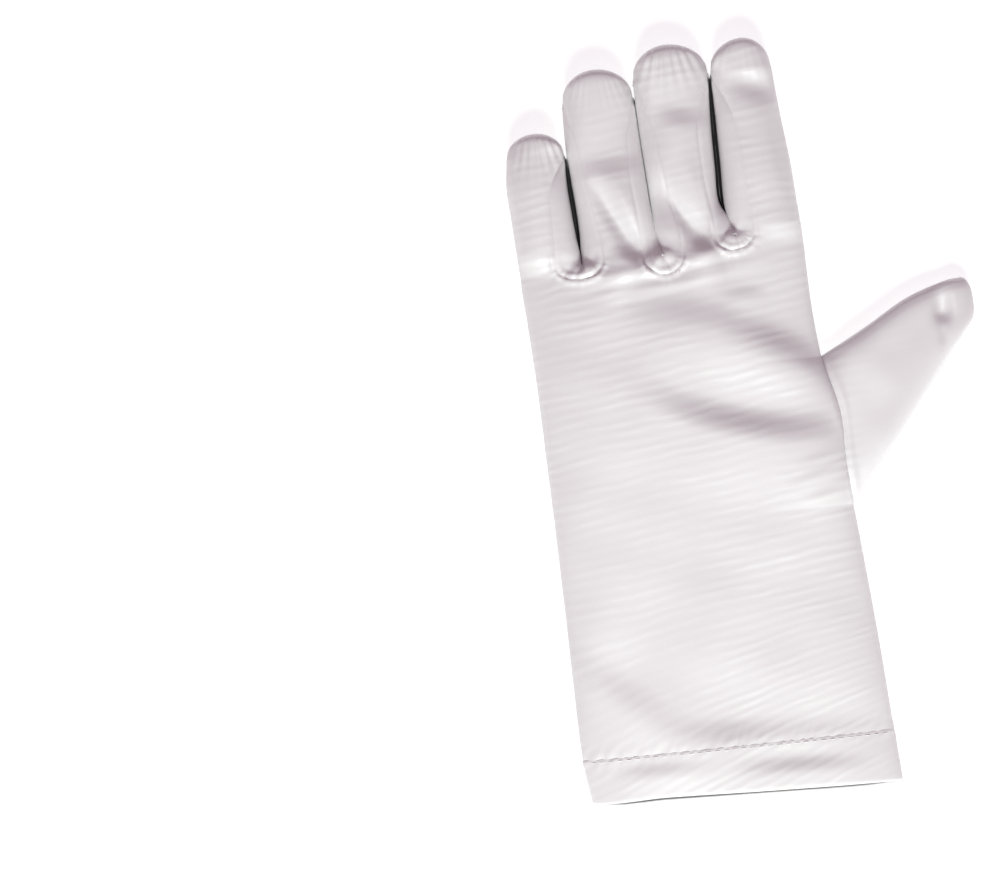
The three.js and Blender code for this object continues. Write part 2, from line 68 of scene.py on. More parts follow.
# The share of an underside's width that lies flat
HAND_FLAT = 0.82
FINGER_FLAT = 0.5
THUMB_FLAT = 0.6

# Folds die away towards an outline as 1 less this power of the place across
HAND_EASE, FINGER_EASE = 14, 10


def table(names, rows):
    """A small table as a dictionary of columns."""
    return dict(zip(names.split(), np.array(rows, float).T))


HAND = table("y left right crown", [
    (-2, -47.6, 46.9, 11.0),
    (14.5, -49.8, 45.8, 11.3),
    (40, -50.3, 44.2, 12.2),
    (62, -50.5, 42.5, 12.6),
    (84, -50.8, 40.6, 13.2),
    (107, -51.3, 38.2, 14.0),
    (129.4, -51.8, 35.5, 14.2),
    (146, -52.6, 34.2, 13.4),
    (165, -53.5, 33.8, 12.0),
    (190, -54.8, 32.3, 10.8),
])

# Fingers from little to index: the tip, then sections with both sides and both seams on the back
FINGERS = [
    {"tip": (-44.7, 206.2), "rows": table("y left right seam_left seam_right", [
        (162, -53.4, -34.6, -53.4, -42.4),
        (180, -54.3, -35.6, -54.3, -42.3),
        (190, -54.8, -36.2, -54.8, -41.0),
        (198.7, -53.9, -36.0, -53.9, -36.0),
    ])},
    {"tip": (-24.6, 223.8), "rows": table("y left right seam_left seam_right", [
        (162, -33.2, -10.5, -28.0, -15.3),
        (180, -34.1, -11.9, -29.5, -16.2),
        (190, -34.8, -12.4, -31.0, -17.0),
        (203, -35.5, -13.0, -32.8, -16.3),
        (214.2, -35.1, -13.3, -35.1, -13.3),
    ])},
    {"tip": (-2.0, 229.1), "rows": table("y left right seam_left seam_right", [
        (162, -9.8, 12.3, -3.5, 7.0),
        (171, -10.5, 12.0, -4.4, 7.0),
        (180, -11.1, 9.2, -6.0, 6.0),
        (190, -11.7, 9.2, -7.0, 5.2),
        (205, -12.5, 9.4, -9.3, 5.4),
        (219.2, -13.0, 10.2, -13.0, 10.2),
    ])},
    {"tip": (21.0, 228.8), "rows": table("y left right seam_left seam_right", [
        (162, 13.0, 33.9, 18.2, 33.9),
        (171, 12.6, 33.5, 18.3, 33.5),
        (180, 10.9, 32.9, 18.0, 32.9),
        (190, 10.9, 32.3, 17.5, 32.3),
        (205, 10.9, 30.7, 16.2, 30.7),
        (218.7, 10.7, 29.6, 10.7, 29.6),
    ])},
]

# The notches between fingers: lowest point of the seam, half width, depth, where the slit ends, how
# far it stands open, the length over which it opens, and how strong the painted shade in the slit
# is between its two ends
NOTCHES = [
    {"x": -35.2, "y": 160.5, "half": 7.2, "depth": 5.0, "slit": 163.2, "slit_x": -33.7,
     "open": 1.0, "taper": 2.0, "dark": 1.0},
    {"x": -9.4, "y": 159.5, "half": 5.9, "depth": 5.5, "slit": 165.5, "slit_x": -9.8,
     "open": 0.12, "taper": 6.0, "dark": 0.25},
    {"x": 12.6, "y": 164.5, "half": 5.7, "depth": 4.5, "slit": 169.2, "slit_x": 12.6,
     "open": 1.0, "taper": 11.0, "dark": 1.0},
]
ROOT_Y = (162.0, 164.0)  # where the outer sides of the little and the index finger begin
OUTLINE_TURN, OUTLINE_TURN_LENGTH = 150.0, 12.0  # where the hand's sides turn into the fingers'

THUMB = table("s upper_x upper_y lower_x lower_y crown edge", [
    (0.0, 35.5, 129.4, 40.6, 84.0, 8.6, 5.0),
    (0.3, 50.0, 137.2, 52.8, 98.4, 9.6, 4.8),
    (0.6, 63.0, 144.6, 65.0, 113.7, 8.8, 4.4),
    (0.85, 75.0, 148.6, 75.6, 127.2, 8.0, 3.9),
    (1.0, 80.2, 149.2, 80.8, 134.6, 7.4, 3.6),
])
THUMB_LOW, THUMB_HIGH = 84.0, 129.4  # the two ends of its seam, up the hand
THUMB_SEAM_Z = 8.6  # height of its seam on the back
THUMB_SCALLOP = 5.0  # how deep the palm is cut in under it
THUMB_BOW = 1.9  # how far its seam bows out of the hand's side
THUMB_BULGE = 3.0  # how far its blunt tip bulges
THUMB_CAP = 0.85  # where along it the tip begins to close

# Falls: bands where the cloth drops away towards the fingertips, along a curve through three
# points. They turn from the light and look dark.
FALLS = table("x0 y0 x1 y1 x2 y2 width drop", [
    (-23, 128, 11, 112, 54, 108, 5.6, 2.00),
    (-26, 149, 8, 144, 50, 121, 5.2, 0.80),
    (4, 141.5, 28, 132, 46, 120, 5.5, 1.40),
    (-64, 62, -37, 35.5, -8, 14, 6.5, 0.80),
    (-32, 22.5, 2, 18.6, 46, 16.6, 5.0, 0.95),
    (-4, 66, 25, 72, 52, 80, 10.0, -0.45),
    (6, 150, 14, 151.5, 22, 150, 2.2, 0.35),
    (20, 92, 31, 95, 42, 98, 1.4, 0.26),
    (22, 97.5, 32, 100, 42, 102.5, 1.4, 0.26),
    (24, 86.5, 33, 89, 42, 91.5, 1.4, 0.20),
    (-26, 169, -19.5, 166.3, -14, 163.3, 3.0, 1.15),
    (-4, 167, 3, 167.3, 7.5, 167.8, 3.0, 1.15),
    (-9, 207.5, 0, 206.5, 9, 204, 4.0, 0.90),
    (28, 210, 28.5, 194, 30, 176, 3.0, 0.80),
    (-35, 194, -23, 193.5, -10, 195, 4.2, 0.80),
    (-42, 9, -27, 10, -8, 8.8, 3.2, 0.55),
    (-6, 7, 16, 7.2, 40, 5.5, 3.3, 0.85),
])

# Ridges: raised lines of the cloth, along a curve through three points. A minus rise is a valley.
RIDGES = table("x0 y0 x1 y1 x2 y2 width rise", [
    (-42, 159.8, -12, 161.5, 26, 168, 2.2, 0.95),
    (-37, 154.5, -6, 156.3, 26, 161.5, 1.8, 0.50),
    (-29, 192, -22.5, 177, -15.5, 163, 2.6, -2.55),
    (-22, 192, -18, 180, -14, 169, 2.6, 0.50),
    (-10, 191, -2.5, 177, 6, 165.5, 2.8, -2.60),
    (-2, 195, 4, 184, 9, 171, 3.4, 0.55),
    (13, 216, 24, 214, 32, 209, 4.2, -1.90),
])

# How finely the pieces are divided
COLUMNS = 38  # across each finger
LOW_ROWS, THUMB_ROWS, HIGH_ROWS = 64, 52, 42  # up the hand, in three spans
NOTCH_ROWS, FINGER_ROWS, TIP_ROWS = 16, 54, 20  # up a finger, in three spans
TIP_START = 0.30  # radians from the side at which a tip's first column stands
STRIP_COLUMNS = 14  # from a seam to the slit
THUMB_RINGS = 96  # along the thumb
HEM_COLUMNS = 120  # across the cuff
HEM_ROWS, HEM_TURNS, HEM_INNER_ROWS = 18, 9, 30  # outside, round the fold, and inside


def lerp(a, b, t):
    """From a at 0 to b at 1, in a straight line."""
    return a + (b - a) * t


def smooth(t):
    """0 below 0, 1 above 1, and an S-shaped curve between."""
    c = np.clip(t, 0.0, 1.0)
    return c * c * (3 - 2 * c)


def arch(v, power):
    """Height of a round section at v, which runs from -1 to 1 across it."""
    return np.sqrt(np.clip(1 - np.abs(v) ** power, 0, None))


def roll(v, flat):
    """0 on the flat middle of an underside, rising to 1 at its edge as a quarter circle does."""
    e = np.clip((np.abs(v) - flat) / (1 - flat), 0, 1)
    return 1 - np.sqrt(1 - e * e)


def column(rows, name, at, key="y"):
    """A column of a table at any places along it, on a smooth cubic through the rows."""
    keys, values = rows[key], rows[name]
    p = np.clip(np.asarray(at, float), keys[0], keys[-1])
    i = np.clip(np.searchsorted(keys, p, side="left") - 1, 0, len(keys) - 2)
    ahead = np.minimum(np.arange(len(keys)) + 1, len(keys) - 1)
    behind = np.maximum(np.arange(len(keys)) - 1, 0)
    slopes = (values[ahead] - values[behind]) / (keys[ahead] - keys[behind])
    span = keys[i + 1] - keys[i]
    t = (p - keys[i]) / span
    rise = t * t * (3 - 2 * t)
    leave = t * (t - 1) ** 2 * span * slopes[i]
    arrive = t * t * (t - 1) * span * slopes[i + 1]
    return values[i] * (1 - rise) + values[i + 1] * rise + leave + arrive


def curve_through(f, steps=49):
    """Points of the parabola through a fold's three points, as x and y."""
    s = np.linspace(0, 1, steps)
    bend = {a: 2 * f[a + "1"] - (f[a + "0"] + f[a + "2"]) / 2 for a in "xy"}
    first, middle, last = (1 - s) ** 2, 2 * s * (1 - s), s * s
    return [first * f[a + "0"] + middle * bend[a] + last * f[a + "2"] for a in "xy"]


def along_and_across(x, y, line_x, line_y):
    """Where a point lies by a curve: its place along, in points of the curve, and its distance to
    the left, both taken on the tangent at the nearest point."""
    flat_x, flat_y = x.ravel(), y.ravel()
    along, across = np.empty(flat_x.size), np.empty(flat_x.size)
    tangent_x, tangent_y = np.gradient(line_x), np.gradient(line_y)
    for start in range(0, flat_x.size, 20000):
        part = slice(start, start + 20000)
        dx = flat_x[part, None] - line_x[None, :]
        dy = flat_y[part, None] - line_y[None, :]
        near = np.argmin(dx * dx + dy * dy, axis=1)
        rows = np.arange(near.size)
        tx, ty, ox, oy = tangent_x[near], tangent_y[near], dx[rows, near], dy[rows, near]
        step = np.hypot(tx, ty)
        along[part] = np.clip(near + (tx * ox + ty * oy) / step ** 2, 0, line_x.size - 1)
        across[part] = (tx * oy - ty * ox) / step
    return along.reshape(x.shape), across.reshape(x.shape)


def fold_height(x, y):
    """Sum of all falls and ridges. A fall drops as -d exp(-d*d/2) does between -1 and 1 and comes
    back slowly on both sides, a ridge is exp(-d*d), and both fade out towards the curve's ends."""
    total = np.zeros(x.shape)
    for rows, size in ((FALLS, "drop"), (RIDGES, "rise")):
        for n in range(len(rows["width"])):
            f = {name: values[n] for name, values in rows.items()}
            line_x, line_y = curve_through(f)
            along, across = along_and_across(x, y, line_x, line_y)
            fade = np.sin(np.pi * along / (line_x.size - 1)) ** 1.3
            d = across / f["width"]
            if size == "drop":
                steep = -d * np.exp(0.5 - d * d / 2)
                slow = -np.sign(d) * np.exp(-((np.abs(d) - 1) / 1.8) ** 2 / 2)
                total += f["drop"] * fade * np.where(np.abs(d) < 1, steep, slow)
            else:
                total += f["rise"] * fade * np.exp(-d * d)
    return total


def loose_cloth(x, y):
    """What rises and falls all over the back: its folds, and a slow unevenness."""
    return fold_height(x, y) + 0.20 * slow_waves(x, y, 26, 3)


def slow_waves(x, y, pitch, seed):
    """Smooth irregular waves of about this pitch: a sum of twelve sines in random directions."""
    rng = np.random.default_rng(seed)
    total = np.zeros(np.shape(x))
    for _ in range(12):
        angle, phase = rng.uniform(0, 2 * math.pi, 2)
        k = 2 * math.pi / (pitch * rng.uniform(0.7, 1.5))
        total += np.sin(k * (np.cos(angle) * x + np.sin(angle) * y) + phase)
    return total / 3.5


def thumb_place(y):
    """Place along the thumb's opening in the hand: -1 at its lower end, 1 at its upper one."""
    return np.clip(2 * (y - THUMB_LOW) / (THUMB_HIGH - THUMB_LOW) - 1, -1, 1)


def thumb_arch(v, ring):
    """The thumb's section: low and easy at its ends where it leaves the hand, then an arch."""
    return np.clip(1 - np.abs(v) ** THUMB_FULLNESS, 0, None) ** lerp(1.0, 0.5, smooth(ring / 0.18))


def hand_right(back, y):
    """The hand's right side as x and z: the outline's edge, or the seam that holds the thumb."""
    v = thumb_place(y)
    x = column(HAND, "right", y) + THUMB_BOW * (1 - v ** 2) * np.exp(-((v - 0.35) / 0.6) ** 2)
    if back:
        return x, lerp(EDGE_Z, THUMB_SEAM_Z, thumb_arch(v, 0.0))
    closed = roll(v, THUMB_FLAT)
    return x - THUMB_SCALLOP * (1 - closed), EDGE_Z * closed


def outline_side(k, x, y):
    """The glove's outer side in plan: the hand's side x, turning into outer finger k's."""
    finger_x = column(FINGERS[k]["rows"], "right" if k == 3 else "left", y)
    return lerp(x, finger_x, smooth((y - OUTLINE_TURN) / OUTLINE_TURN_LENGTH))


def hand_height(back, x, y):
    """The hand's section: an arch on the back, and a flat with rolled edges on the palm. Beside the
    thumb its right side is the seam's height."""
    right, z_right = hand_right(back, y)
    left = outline_side(0, column(HAND, "left", y), y)
    right = outline_side(3, right, y)
    s = np.clip(2 * (x - left) / (right - left) - 1, -1, 1)
    side = np.where(s < 0, EDGE_Z, z_right)
    if not back:
        return side * roll(s, HAND_FLAT)
    return lerp(side, column(HAND, "crown", y), arch(s, HAND_FULLNESS))


def finger_height(back, k, x, y):
    """A finger's section at x, round on the back and flat beneath, edge to edge of its outline."""
    rows = FINGERS[k]["rows"]
    left, right = column(rows, "left", y), column(rows, "right", y)
    v = np.clip(2 * (x - left) / (right - left) - 1, -1, 1)
    if back:
        crown = FINGER_CROWN + ROOT_RISE * smooth((206 - y) / 38)
        return lerp(EDGE_Z, crown, arch(v, FINGER_FULLNESS))
    return EDGE_Z * roll(v, FINGER_FLAT)


def root_line(x):
    """Height up the hand of the finger roots at x, through the notches."""
    places = [-54.0] + [n["x"] for n in NOTCHES] + [34.0]
    heights = [ROOT_Y[0]] + [n["y"] for n in NOTCHES] + [ROOT_Y[1]]
    return np.interp(x, places, heights)


def surface_height(back, k, x, y):
    """Height of the back or the palm: the hand turns into finger k above the finger roots."""
    share = smooth((y - root_line(x)) / 8.0)
    z = lerp(hand_height(back, x, y), finger_height(back, k, x, y), share)
    if not back:
        return z
    sides = [[column(rows, name, y) for name in ("left", "right")]
             for rows in (HAND, FINGERS[k]["rows"])]
    s, v = [np.clip(2 * (x - left) / (right - left) - 1, -1, 1) for left, right in sides]
    easing = (1 - s ** HAND_EASE) * lerp(1, 1 - v ** FINGER_EASE, share)
    return z + loose_cloth(x, y) * easing


def seam_height(t, z):
    """A finger seam's height: the surface's own, turning to the edge near the fingertip."""
    return lerp(EDGE_Z, z, np.sqrt(np.clip(1 - t ** 6, 0, 1)))


def finger_side(k, right, notch_t, t):
    """One side of a finger's strip in plan: round the notch, then up the seam or the outline."""
    finger = FINGERS[k]
    end = finger["rows"]["y"][-1]
    name = "seam_right" if right else "seam_left"
    if k == (3 if right else 0):
        root = ROOT_Y[1 if right else 0]
        start = root + NOTCHES[0]["depth"]
        y = np.where(t > 0, lerp(start, end, t), lerp(root, start, notch_t))
        return column(finger["rows"], name, y), y
    notch = NOTCHES[k if right else k - 1]
    inwards = -1 if right else 1
    angle = notch_t * math.pi / 2
    round_x = notch["x"] + inwards * notch["half"] * np.sin(angle)
    round_y = notch["y"] + notch["depth"] * (1 - np.cos(angle))
    y = lerp(notch["y"] + notch["depth"], end, t)
    x = lerp(notch["x"] + inwards * notch["half"], column(finger["rows"], name, y), smooth(3 * t))
    return np.where(t > 0, x, round_x), np.where(t > 0, y, round_y)


def hand_rows():
    """Shares up the hand of its rows, as (part, share): from the hem to the thumb, along it, and on
    to the finger roots."""
    low = [("low", n / LOW_ROWS) for n in range(LOW_ROWS)]
    middle = [("thumb", (1 - math.cos(math.pi * n / THUMB_ROWS)) / 2) for n in range(THUMB_ROWS)]
    high = [("high", n / HIGH_ROWS) for n in range(HIGH_ROWS + 1)]
    return low + middle + high


def hand_row_y(root):
    """Height up the hand of every row, on the way to finger roots at root."""
    spans = {"low": (HEM_Y, THUMB_LOW), "thumb": (THUMB_LOW, THUMB_HIGH),
             "high": (THUMB_HIGH, root)}
    return np.array([lerp(*spans[part], share) for part, share in hand_rows()])


def hand_line(back, line):
    """One of five lines up the hand: its two sides, and three that end at the notches."""
    if line in (0, 4):
        right = line == 4
        y = hand_row_y(ROOT_Y[1 if right else 0])
        x = hand_right(back, y)[0] if right else column(HAND, "left", y)
        return outline_side(3 if right else 0, x, y), y
    notch = NOTCHES[line - 1]
    y = hand_row_y(notch["y"])
    even = lerp(column(HAND, "left", y), hand_right(back, y)[0], line / 4)
    return lerp(even, notch["x"], smooth(y / notch["y"])), y


def columns_of(k):
    """Shares across finger k, closer together towards the glove's two outer edges and the seams."""
    even = np.linspace(0, 1, COLUMNS + 1)
    if k == 0:
        return 1 - np.cos(even * math.pi / 2)
    if k == 3:
        return np.sin(even * math.pi / 2)
    return lerp(even, (1 - np.cos(even * math.pi)) / 2, 0.6)


def finger_grid(back, k):
    """The strip of finger k with its part of the hand, as three arrays of x, y and z. Rows round a
    notch keep the form of the hand's last row and rise from it, so that no row folds over."""
    u = columns_of(k)[None, :]
    left, right = hand_line(back, k), hand_line(back, k + 1)
    across = (u, smooth(u))
    hand = [lerp(a[:, None], b[:, None], w) for a, b, w in zip(left, right, across)]
    notch_t = np.concatenate([np.arange(1, NOTCH_ROWS + 1) / NOTCH_ROWS, np.ones(FINGER_ROWS)])
    t = np.concatenate([np.zeros(NOTCH_ROWS), np.arange(1, FINGER_ROWS + 1) / FINGER_ROWS])
    sides = [finger_side(k, side, notch_t, t) for side in (False, True)]
    strip_x, strip_y = [lerp(a[:, None], b[:, None], w) for a, b, w in zip(*sides, across)]
    last_x, last_y = hand[0][-1], hand[1][-1]
    lifts = [(y - np.interp(x, last_x, last_y))[:, None] for x, y in sides]
    lifted_y = np.interp(strip_x, last_x, last_y) + lerp(*lifts, u)
    strip_y = lerp(lifted_y, strip_y, smooth(t[:, None] / 0.4))
    x, y = np.vstack([hand[0], strip_x]), np.vstack([hand[1], strip_y])
    z = surface_height(back, k, x, y)
    if k == 0:
        z[:, 0] = EDGE_Z
    if k == 3:
        z[:, -1] = np.where(y[:, -1] < THUMB_HIGH, hand_right(back, y[:, -1])[1], EDGE_Z)
    near_end = np.concatenate([np.zeros(len(hand[0])), t])[:, None]
    middle_out = 2 * u - 1
    by_slit = ((middle_out < 0) & (k > 0)) | ((middle_out > 0) & (k < 3))
    pull = np.where(by_slit, np.abs(middle_out) ** 12, 0) * np.ones_like(z)
    z = lerp(z, seam_height(near_end, z), pull)
    return add_fingertip(k, x, y, z)


def add_fingertip(k, x, y, z):
    """The rounded tip: rows go from the strip's last row out to an arc round the tip, as a dome
    does."""
    tip_x, tip_y = FINGERS[k]["tip"]
    share = np.linspace(0, 1, COLUMNS + 1)
    angle = lerp(TIP_START, math.pi - TIP_START, share)
    side_x = np.where(share < 0.5, x[-1, 0], x[-1, -1])
    side_y = np.where(share < 0.5, y[-1, 0], y[-1, -1])
    arc_x = tip_x + np.abs(np.cos(angle)) * (side_x - tip_x)
    arc_y = side_y + (tip_y - side_y) * np.sin(angle)
    turn = (np.arange(1, TIP_ROWS + 1) / TIP_ROWS * math.pi / 2)[:, None]
    more_x = lerp(x[-1], arc_x, np.sin(turn))
    more_y = lerp(y[-1], arc_y, np.sin(turn))
    more_z = EDGE_Z + (z[-1] - EDGE_Z) * arch(np.sin(turn), TIP_FULLNESS)
    return np.vstack([x, more_x]), np.vstack([y, more_y]), np.vstack([z, more_z])


def notch_seam(n):
    """The seam round notch n in plan, from one fingertip down round the notch and up the other."""
    notch_t = np.concatenate([np.linspace(0, 1, 24), np.ones(90)])
    t = np.concatenate([np.zeros(24), np.linspace(0.01, 1, 90)])
    left = finger_side(n, True, notch_t, t)
    right = finger_side(n + 1, False, notch_t, t)
    return [np.concatenate([a[::-1], b[1:]]) for a, b in zip(left, right)]


# Beside the finger seams: height and width of the welt and its distance from the stitches, height,
# pitch and reach of the puckers, and how much higher both stand round a notch
SEAM = {"welt": 0.10, "welt_more": 0.34, "welt_at": 1.0, "welt_width": 0.7,
        "pucker": 0.0294, "pucker_more": 0.084, "pitch": 2.7, "reach": 0.9}


def seam_relief(x, y, puff=0.0):
    """How far the cloth stands out beside the finger seams: a soft welt along the stitches as
    exp(-d*d), and uneven puckers across them as a sine that dies away outwards. Both are strongest
    round a notch. The strips puff up there too, highest at the slit's end."""
    total = np.zeros(x.shape)
    for n, notch in enumerate(NOTCHES):
        line_x, line_y = notch_seam(n)
        length = np.concatenate([[0], np.cumsum(np.hypot(np.diff(line_x), np.diff(line_y)))])
        along, across = along_and_across(x, y, line_x, line_y)
        s, d = np.interp(along, np.arange(length.size), length), np.abs(across)
        wander = s + 0.8 * np.sin(0.83 * s + n) + 0.4 * np.sin(1.9 * s + 2 * n)
        low = np.exp(-((np.interp(along, np.arange(length.size), line_y) - notch["y"]) / 8.0) ** 2)
        puckers = np.sin(2 * math.pi * wander / SEAM["pitch"]) * d * np.exp(1 - d / SEAM["reach"])
        welt = np.exp(-((d - SEAM["welt_at"]) / SEAM["welt_width"]) ** 2)
        total += (SEAM["welt"] + SEAM["welt_more"] * low) * welt
        total += (SEAM["pucker"] + SEAM["pucker_more"] * low) * puckers
        up = y - notch["slit"] - 1.0
        away = np.hypot((x - notch["slit_x"]) / 3.4, up / np.where(up > 0, 9.0, 3.2))
        total += puff * np.exp(-away ** 2) * (1 - np.exp(-d ** 2))
    return total


def quads(rows, columns, start, turned):
    """The faces of a grid whose points are stored row by row from start."""
    i, j = np.meshgrid(np.arange(columns - 1), np.arange(rows - 1))
    a = start + j * columns + i
    faces = np.stack([a, a + 1, a + 1 + columns, a + columns], -1).reshape(-1, 4)
    return faces[:, ::-1] if turned else faces


def patch(x, y, z, turned, rise=0.0, shade=0.0, fan=0.0, gather=0.0):
    """A grid of cloth in hand measure, with how far each point is raised, how much painted shade
    darkens it in a slit or inside the cuff, and the phase and height in mm of the fingertip gathers
    there."""
    values = {"rise": rise, "shade": shade, "fan": fan, "gather": gather}
    part = {name: value + np.zeros(x.shape) for name, value in values.items()}
    return {"place": np.stack([x, y, z], -1), "turned": turned, **part}


def cloth_piece(name, patches, material, node, thickness=CLOTH):
    """Joins patches into one mesh, raises each point along the joined surface's normal, and gives
    the cloth its thickness inwards and its finish."""
    faces, start = [], 0
    for part in patches:
        rows, columns = part["rise"].shape
        faces.append(quads(rows, columns, start, part["turned"]))
        start += rows * columns
    points = np.concatenate([part["place"].reshape(-1, 3) for part in patches])
    mesh = bpy.data.meshes.new(name)
    mesh.from_pydata(points.tolist(), [], np.concatenate(faces).tolist())
    for key in ("rise", "shade", "fan", "gather"):
        values = np.concatenate([part[key].ravel() for part in patches])
        mesh.attributes.new(key, "FLOAT", "POINT").data.foreach_set("value", values)
    joined = bmesh.new()
    joined.from_mesh(mesh)
    bmesh.ops.remove_doubles(joined, verts=joined.verts, dist=MERGE)
    for edge in joined.edges:
        edge.smooth = edge.calc_face_angle(math.pi) < SHARP
    joined.to_mesh(mesh)
    joined.free()
    count = len(mesh.vertices)
    place, normal, rise = np.empty(3 * count), np.empty(3 * count), np.empty(count)
    mesh.vertices.foreach_get("co", place)
    mesh.vertices.foreach_get("normal", normal)
    mesh.attributes["rise"].data.foreach_get("value", rise)
    place = place.reshape(-1, 3) + normal.reshape(-1, 3) * rise[:, None]
    place[:, 2] = np.maximum(place[:, 2], 0)
    mesh.vertices.foreach_set("co", ((place - (*ORIGIN, 0)) / 1000).ravel())
    mesh.attributes.remove(mesh.attributes["rise"])
    mesh.polygons.foreach_set("use_smooth", np.ones(len(mesh.polygons), bool))
    mesh.materials.append(material)
    mesh.update()
    piece = bpy.data.objects.new(name, mesh)
    bpy.context.scene.collection.objects.link(piece)
    if thickness:
        wall = piece.modifiers.new("wall", "SOLIDIFY")
        wall.thickness = thickness / 1000
        wall.offset = -1
        wall.use_even_offset = False
    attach(piece, "root")
    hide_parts(node)
    return piece


def panel(back, material):
    """The back or the palm: four finger strips that share the hand, in one cloth."""
    patches = []
    for k in range(4):
        x, y, z = finger_grid(back, k)
        rise = seam_relief(x, y) + outline_relief(z)
        fan, gather = gathers(k, x, y)
        if back:
            rise += hem_ripple(x, y)
        else:
            rise, gather = np.where(z < 0.5, np.minimum(rise, 0), rise), 0.0
        patches.append(patch(x, y, z, not back, rise, 0.0, fan, gather))
    if back:
        return cloth_piece("glove_back", patches, material, "back_panel")
    return cloth_piece("glove_palm", patches, material, "palm_panel")


def outline_relief(z):
    """The seam along the glove's outer edge: a shallow groove where back and palm meet."""
    return -0.16 * np.exp(-((z - EDGE_Z) / 0.5) ** 2)


# Gathers at the fingertips from little to index: how high, and how many to a radian of the fan
GATHERS = table("height count", [(0.10, 58), (0.03, 72), (0.12, 50), (0.03, 60)])


def gathers(k, x, y):
    """Fine gathers that fan out from a fingertip: the phase of their sine, and how high they stand,
    which dies away down the finger."""
    tip_x, tip_y = FINGERS[k]["tip"]
    away = np.hypot(x - tip_x, tip_y + 4 - y)
    angle = np.arctan2(x - tip_x, tip_y + 14 - y)
    return GATHERS["count"][k] * angle, GATHERS["height"][k] * np.exp(-((away - 11) / 6.5) ** 2)


def crease(k, right, notch_t, t, seam_y):
    """The outline beside a slit and the slit's middle: it starts at the slit's end and runs up just
    ahead of the seam. How far a slit stands open comes from its table."""
    n = k if right else k - 1
    notch = NOTCHES[n]
    done = (notch_t * NOTCH_ROWS + t * FINGER_ROWS) / (NOTCH_ROWS + FINGER_ROWS)
    y = seam_y + (notch["slit"] - notch["y"]) * (1 - done) ** 2
    side = column(FINGERS[k]["rows"], "right" if right else "left", y)
    other = column(FINGERS[k + 1 if right else k - 1]["rows"], "left" if right else "right", y)
    middle = lerp((side + other) / 2, notch["slit_x"], smooth((notch["slit"] + 10 - y) / 10))
    opened = notch["open"] * smooth((y - notch["slit"]) / notch["taper"])
    level = np.where(y > FINGERS[0]["rows"]["y"][-1] - 3, 1, opened) if n == 0 else opened
    past_tip = smooth((y - column_end(n) + 1.6) / 2)
    apart = np.where(notch_t > 0, -0.008 if right else 0.008, 0)
    return lerp(middle, side, lerp(level, 1, past_tip)) + apart, middle, y, past_tip


def column_end(n):
    """Height up the hand at which the shorter finger beside notch n begins its tip."""
    return min(FINGERS[n]["rows"]["y"][-1], FINGERS[n + 1]["rows"]["y"][-1])


def strip_half(n, right):
    """One finger's half of a side strip: rows from the notch's middle up to the fingertip, and
    columns from the seam on the back, round the crease, to the seam on the palm. Below the crease
    the cloth bulges until it meets the next finger's, so the slit has a floor of cloth. It also
    gives the painted shade that stands in for the shadow deep in the slit."""
    k = n + 1 if right else n
    on_right = not right
    notch_t = np.concatenate([np.linspace(0, 1, NOTCH_ROWS + 1), np.ones(FINGER_ROWS)])
    t = np.concatenate([np.zeros(NOTCH_ROWS + 1), np.arange(1, FINGER_ROWS + 1) / FINGER_ROWS])
    seam_x, seam_y = finger_side(k, on_right, notch_t, t)
    crease_x, middle_x, crease_y, past_tip = crease(k, on_right, notch_t, t, seam_y)
    rows = FINGERS[k]["rows"]
    centre = (column(rows, "left", seam_y) + column(rows, "right", seam_y)) / 2
    half = (column(rows, "right", seam_y) - column(rows, "left", seam_y)) / 2
    start = np.clip(np.abs(seam_x - centre) / half, 0.25, 0.999)
    start = lerp(0.35, start, smooth(notch_t * 1.5 - 0.5))
    q = np.sin(np.linspace(0, 1, STRIP_COLUMNS + 1) * math.pi / 2)[None, :]
    v = lerp(start[:, None], 1, q)
    power = lerp(NOTCH_FULLNESS, STRIP_FULLNESS, smooth(notch_t * 1.3 - 0.3))[:, None]
    height = arch(v, power) / arch(start[:, None], power)
    x = lerp(seam_x[:, None], crease_x[:, None], q)
    y = lerp(seam_y[:, None], crease_y[:, None], q)
    seams = [seam_height(t, surface_height(back, k, seam_x, seam_y)) for back in (True, False)]
    tops, bottoms = [lerp(EDGE_Z, seam[:, None], height) for seam in seams]
    belly = np.exp(-((height - 0.35) / 0.2) ** 2)
    belly = belly * (1 - past_tip[:, None]) * smooth(notch_t[:, None] * 2)
    meeting = middle_x[:, None] + (0.06 if on_right else -0.06)
    low_x = lerp(x, meeting, belly)
    # Painted shade: how far the strip's colour is taken down to the painted slit shade, on its
    # upper wall just above the crease and on its lower wall, in place of the shadow deep in the
    # slit
    deep = smooth((EDGE_Z + 1.0 - tops) / 0.7), smooth(1.3 - height)
    inwards = np.where(t > 0, -1 if on_right else 1, 0)[:, None] * ALLOWANCE * (1 - t[:, None] ** 4)
    under_x, under_y = x[:, :1] + inwards, y[:, :1] - ALLOWANCE * (t[:, None] == 0)
    under_z = tops[:, :1] - 1.3 * CLOTH * (1 - t[:, None] ** 4)
    x = np.hstack([under_x, x, low_x[:, -2::-1]])
    y = np.hstack([under_y, y, y[:, -2::-1]])
    z = np.hstack([under_z, tops, bottoms[:, -2::-1]])
    # Painted shade: none past the fingertips, weaker between the slit's two ends by the notch's
    # share, and full at the slit's end and near the tips
    beside = (1 - past_tip[:, None]) * smooth(notch_t[:, None] * 3 - 0.8)
    notch = NOTCHES[n]
    at_ends = np.exp(-((y - notch["slit"] - 1.8) / 1.5) ** 2)
    at_ends = at_ends + smooth((y - column_end(n) + 8) / 5)
    beside = beside * lerp(notch["dark"], 1, np.clip(at_ends, 0, 1))
    shade = np.hstack([0 * under_x, deep[0], deep[1][:, -2::-1]]) * beside
    return x, y, z, shade


